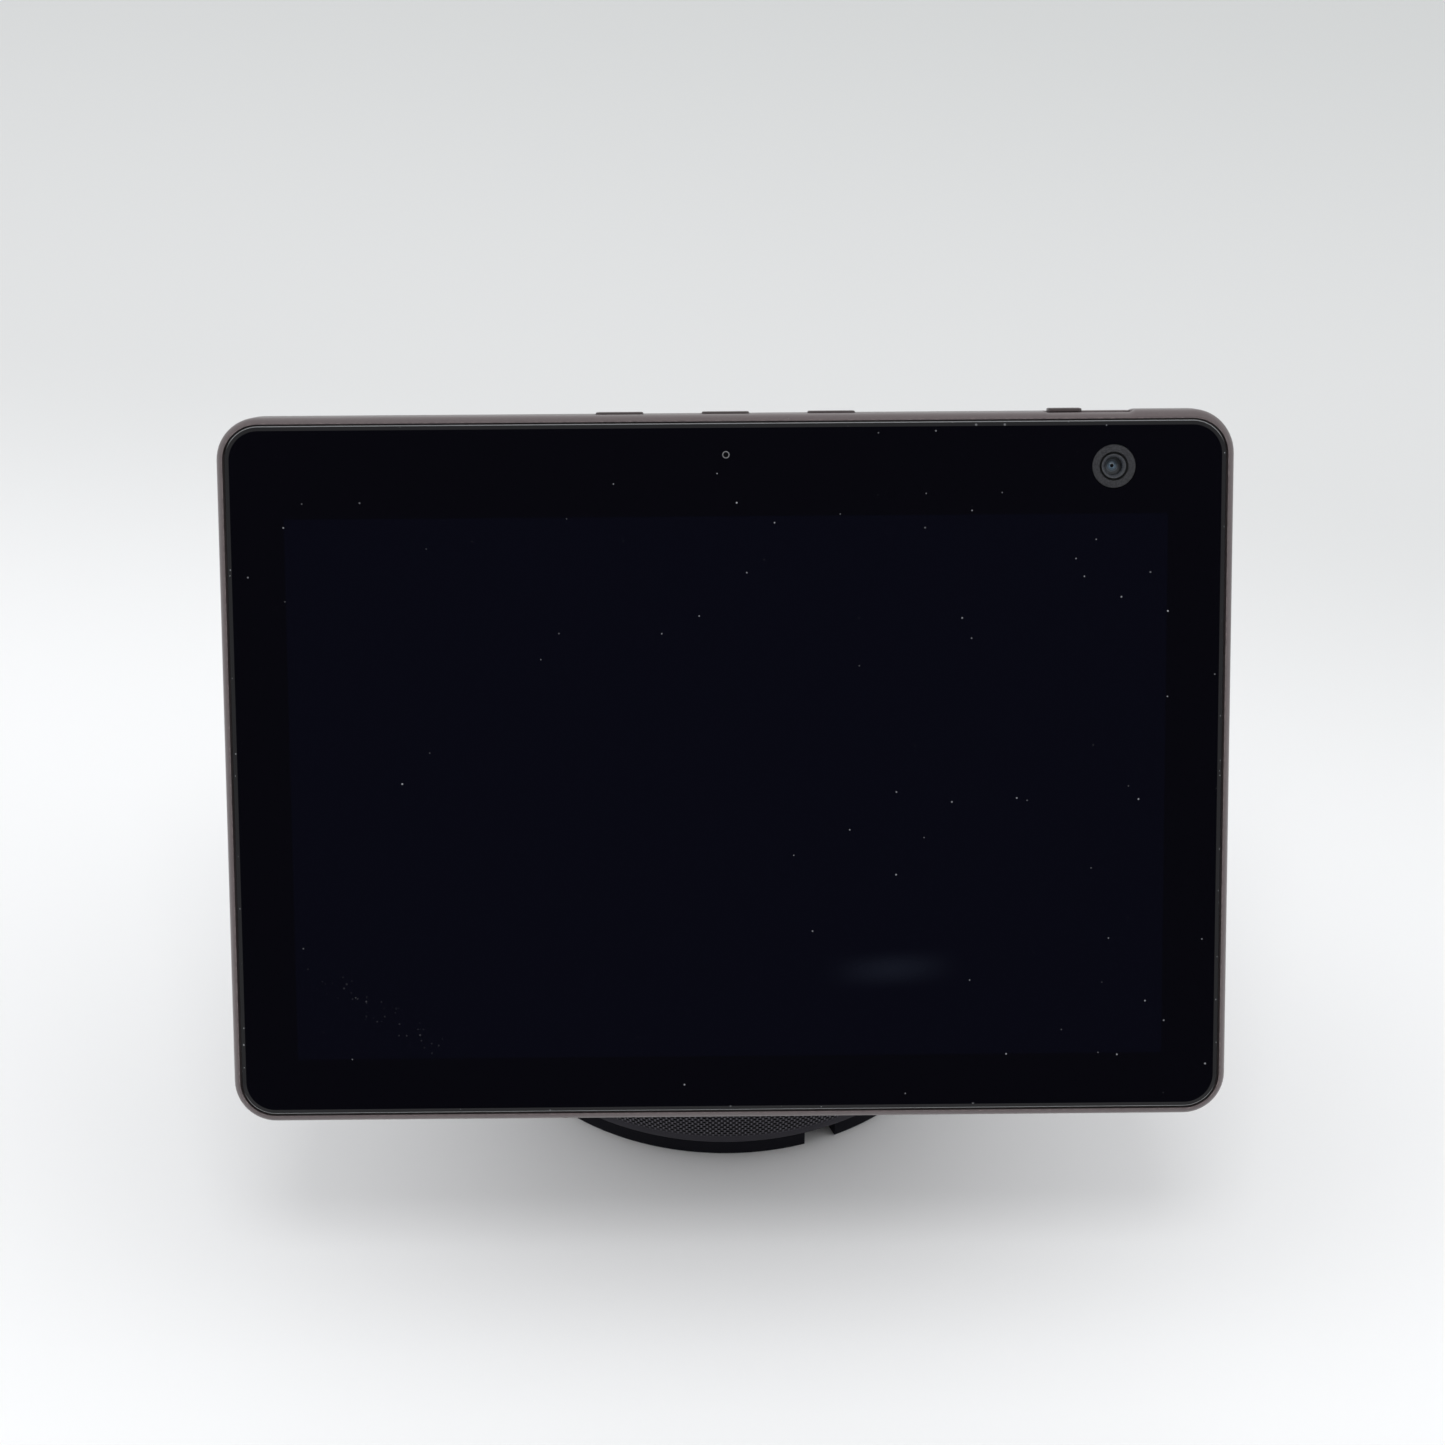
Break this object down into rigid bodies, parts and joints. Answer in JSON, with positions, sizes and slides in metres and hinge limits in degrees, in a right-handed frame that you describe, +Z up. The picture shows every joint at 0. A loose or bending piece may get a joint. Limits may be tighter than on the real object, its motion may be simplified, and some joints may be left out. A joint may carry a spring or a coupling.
{
  "type": "smart display",
  "caption": "Smart display: a tilting touch panel with camera shutter and top buttons on an arm that a motor turns above a round fabric-covered speaker base.",
  "frame": {"origin": "On the floor under the centre of the round foot, on the axis that the arm turns about.", "axes": "+Z up, +X along the panel towards the right of someone who looks at the screen, -Y out of the screen side towards that person."},
  "size_m": [0.251, 0.1973, 0.224],
  "materials": {
    "charcoal_plastic": "fine matte charcoal moulding",
    "satin_plastic": "satin charcoal moulding",
    "black_glass": "polished glass printed black behind",
    "black_plastic": "matte black moulding",
    "knit_fabric": "open charcoal knit",
    "black_rubber": "matte rubber",
    "steel": "plain steel",
    "aluminium": "cast or pressed aluminium",
    "circuit_board": "green solder mask",
    "coil_iron": "laminated iron with windings",
    "magnet": "ferrite grey",
    "paper_cone": "coated paper",
    "bearing_polymer": "natural bearing polymer",
    "lens_glass": "coated dark lens",
    "screen": "dark screen",
    "ring_grey": "dark grey satin ring"
  },
  "bodies": {
    "base": {"foot_pad": "black_rubber", "base_plate": "black_plastic", "base_screw_1": "steel", "base_screw_2": "steel", "base_screw_3": "steel", "base_screw_4": "steel", "power_jack": "black_plastic", "power_board": "circuit_board", "speaker_housing": "black_plastic", "woofer_basket": "steel", "woofer_magnet": "magnet", "woofer_surround": "black_rubber", "tweeter_left": "black_plastic", "tweeter_right": "black_plastic", "fabric_sleeve": "knit_fabric", "top_ring": "satin_plastic", "motor_plate": "black_plastic", "motor_stator": "coil_iron", "swivel_bush": "bearing_polymer", "thrust_washer": "bearing_polymer"},
    "turntable": {"swivel_spindle": "steel", "motor_bell": "steel", "rotor_magnets": "magnet", "spindle_nut": "steel", "swivel_cable": "black_plastic", "turntable_deck": "satin_plastic", "neck_core": "aluminium", "neck_cover": "charcoal_plastic", "arm_screw_1": "steel", "arm_screw_2": "steel", "arm_screw_3": "steel", "arm_screw_4": "steel", "friction_washer_left": "steel", "friction_washer_right": "steel"},
    "display": {"display_frame": "charcoal_plastic", "front_glass": "black_glass", "lcd_panel": "screen", "camera_trim_ring": "ring_grey", "camera_barrel": "black_plastic", "camera_lens": "lens_glass", "camera_board": "circuit_board", "light_sensor": "lens_glass", "button_board": "circuit_board", "display_chassis": "aluminium", "main_board": "circuit_board", "heat_spreader": "aluminium", "rear_cover": "charcoal_plastic", "hinge_bracket": "steel", "bracket_screw_left": "steel", "bracket_screw_right": "steel", "tilt_shaft": "steel", "hinge_cap_left": "satin_plastic", "hinge_cap_right": "satin_plastic"},
    "volume_down": {"volume_down_button": "satin_plastic"},
    "volume_up": {"volume_up_button": "satin_plastic"},
    "privacy": {"privacy_button": "satin_plastic"},
    "shutter": {"shutter_knob": "satin_plastic", "shutter_blade": "black_plastic"},
    "woofer_diaphragm": {"woofer_cone": "paper_cone"}
  },
  "joints": [
    {"name": "swivel", "type": "hinge", "parent": "base", "child": "turntable", "pos_m": [0, 0, 0.0942], "axis": [0, 0, 1], "range_deg": [-333, 17]},
    {"name": "tilt", "type": "hinge", "parent": "turntable", "child": "display", "pos_m": [0, -0.0638, 0.1193], "axis": [-1, 0, 0], "range_deg": [-28.9, 11.1]},
    {"name": "volume_down_press", "type": "slide", "parent": "display", "child": "volume_down", "axis": [0, -0.4833, -0.8755], "range_m": [0, 0.0005], "stiffness_N_per_m": 600},
    {"name": "volume_up_press", "type": "slide", "parent": "display", "child": "volume_up", "axis": [0, -0.4833, -0.8755], "range_m": [0, 0.0005], "stiffness_N_per_m": 600},
    {"name": "privacy_press", "type": "slide", "parent": "display", "child": "privacy", "axis": [0, -0.4833, -0.8755], "range_m": [0, 0.0005], "stiffness_N_per_m": 600},
    {"name": "shutter_slide", "type": "slide", "parent": "display", "child": "shutter", "axis": [1, 0, 0], "range_m": [0, 0.0116]},
    {"name": "woofer_stroke", "type": "slide", "parent": "base", "child": "woofer_diaphragm", "axis": [-0.3746, 0.9272, 0], "range_m": [-0.002, 0.002], "stiffness_N_per_m": 1500}
  ]
}
